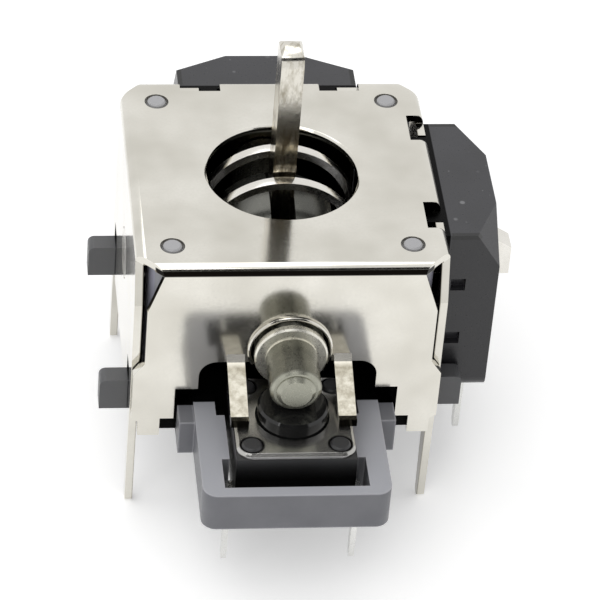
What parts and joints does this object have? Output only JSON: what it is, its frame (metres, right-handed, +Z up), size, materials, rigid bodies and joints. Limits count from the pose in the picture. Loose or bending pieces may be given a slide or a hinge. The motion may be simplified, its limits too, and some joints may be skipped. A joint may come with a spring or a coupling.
{
  "type": "two-axis thumbstick module",
  "caption": "Metal-framed two-axis thumbstick for a game controller: sprung stick on crossed arms, side potentiometers and a click switch under a front rod.",
  "frame": {"origin": "on the stick's rest axis, in the plane of the circuit board that the moulded base sits on", "axes": "+Z up along the resting stick, +X towards the right potentiometer, +Y towards the rear potentiometer, click switch on -Y"},
  "size_m": [0.0215, 0.0271, 0.0241],
  "materials": {
    "nickel_steel": "bright nickel plate, lightly brushed",
    "grey_nylon": "fine matte",
    "arm_metal": "polished casting",
    "steel_pin": "ground",
    "stamped_steel": "stamped, nickel plated, coarse cut edges",
    "bow_metal": "nickel plated",
    "black_plastic": "moulded satin",
    "spring_steel": "bright drawn",
    "switch_black": "moulded satin",
    "switch_steel": "tin plate",
    "plunger_black": "smooth gloss",
    "silver_contact": "tin plate",
    "phenolic": "pressed board",
    "white_plastic": "moulded satin"
  },
  "bodies": {
    "housing": {"cover": "nickel_steel", "base_frame": "grey_nylon", "return_spring": "spring_steel", "switch_base": "switch_black", "switch_cover": "switch_steel", "switch_dome": "spring_steel", "switch_contact_right": "silver_contact", "switch_contact_left": "silver_contact", "right_pot_housing": "black_plastic", "right_pot_board": "phenolic", "right_pot_terminal_left": "silver_contact", "right_pot_terminal_centre": "silver_contact", "right_pot_terminal_right": "silver_contact", "rear_pot_housing": "black_plastic", "rear_pot_board": "phenolic", "rear_pot_terminal_left": "silver_contact", "rear_pot_terminal_centre": "silver_contact", "rear_pot_terminal_right": "silver_contact"},
    "rear_rotor": {"rear_pot_rotor": "white_plastic", "rear_pot_wiper": "spring_steel"},
    "lower_arm": {"lower_arm": "arm_metal", "stick_pin": "steel_pin"},
    "stick": {"stick": "stamped_steel"},
    "upper_arm": {"upper_arm": "bow_metal", "right_pot_rotor": "white_plastic", "right_pot_wiper": "spring_steel"},
    "plunger": {"switch_plunger": "plunger_black"},
    "spring_plate": {"spring_plate": "black_plastic"}
  },
  "joints": [
    {"name": "arm_roll", "type": "hinge", "parent": "housing", "child": "rear_rotor", "pos_m": [0, 0, 0.0056], "axis": [0, 1, 0], "range_deg": [-18, 18], "stiffness_Nm_per_rad": 0.02},
    {"name": "arm_rock", "type": "hinge", "parent": "rear_rotor", "child": "lower_arm", "pos_m": [0, 0.00765, 0.0056], "axis": [1, 0, 0], "range_deg": [0, 0.78], "stiffness_Nm_per_rad": 0.02, "springref_deg": -2.86},
    {"name": "stick_pitch", "type": "hinge", "parent": "lower_arm", "child": "stick", "pos_m": [0, 0, 0.0056], "axis": [1, 0, 0], "range_deg": [-18, 18], "stiffness_Nm_per_rad": 0.02},
    {"name": "bow_pitch", "type": "hinge", "parent": "housing", "child": "upper_arm", "pos_m": [0, 0, 0.0056], "axis": [1, 0, 0], "range_deg": [-18, 18]},
    {"name": "click", "type": "slide", "parent": "housing", "child": "plunger", "axis": [0, 0, -1], "range_m": [0, 0.000246], "stiffness_N_per_m": 20, "springref_m": -0.0005, "deforming": ["switch_dome"]},
    {"name": "plate_drop", "type": "slide", "parent": "housing", "child": "spring_plate", "axis": [0, 0, -1], "range_m": [0, 0.00011], "stiffness_N_per_m": 10, "springref_m": -0.0005, "deforming": ["return_spring"]}
  ],
  "couplings": [
    {"joint": "bow_pitch", "follows": "stick_pitch", "ratio": 1},
    {"joint": "arm_rock", "follows": "click", "rad_per_m": 55.218},
    {"joint": "plate_drop", "follows": "click", "ratio": 0.42242}
  ]
}
